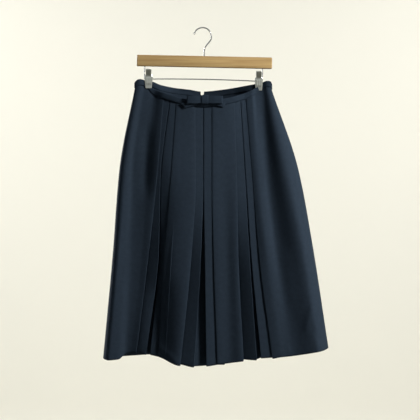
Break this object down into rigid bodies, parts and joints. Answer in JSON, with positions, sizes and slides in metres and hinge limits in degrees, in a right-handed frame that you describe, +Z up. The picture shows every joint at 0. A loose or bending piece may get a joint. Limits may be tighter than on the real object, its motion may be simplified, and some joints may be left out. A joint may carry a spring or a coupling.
{
  "type": "pleated midi skirt on a clip hanger",
  "caption": "Pleated midi skirt with stitched-down inverted box pleats, a flat bow and a back zip, held by the clips of a wooden bar hanger.",
  "frame": {"origin": "the inside top of the hanger's hook, where it rests on a rail", "axes": "+Z up, the skirt's front faces -Y, +X to the right as seen from the front"},
  "size_m": [0.5672, 0.1143, 0.8504],
  "materials": {
    "cloth": "matt navy suiting weave, pressed pleats",
    "zip_tape": "woven navy zip tape and nylon coil",
    "plated_metal": "nickel-plated zip slider and waist hook",
    "wood": "clear satin varnish on pale golden wood",
    "steel": "bright plated steel wire and pressed sheet"
  },
  "bodies": {
    "skirt": {"front_panel": "cloth", "back_panel_left_upper": "cloth", "back_panel_left_lower": "cloth", "back_panel_right_upper": "cloth", "back_panel_right_lower": "cloth", "front_waistband": "cloth", "back_waistband_left": "cloth", "back_waistband_right": "cloth", "bow_loop_left": "cloth", "bow_loop_right": "cloth", "bow_knot": "cloth", "bow_tail_left": "cloth", "bow_tail_right": "cloth", "zip_tape": "zip_tape", "zip_coil": "zip_tape", "zip_slider": "plated_metal", "waist_hook": "plated_metal", "hanger_bar": "wood", "hanger_hook": "steel", "clip_rod": "steel", "clip_left_front_jaw": "steel", "clip_left_back_jaw": "steel", "clip_left_spring": "steel", "clip_right_front_jaw": "steel", "clip_right_back_jaw": "steel", "clip_right_spring": "steel"},
    "zip_pull": {"zip_pull_tab": "plated_metal"}
  },
  "joints": [
    {"name": "zip_pull_hinge", "type": "hinge", "parent": "skirt", "child": "zip_pull", "pos_m": [-0.00087, 0.03495, -0.18106], "axis": [1, 0, 0], "range_deg": [0, 160]}
  ]
}
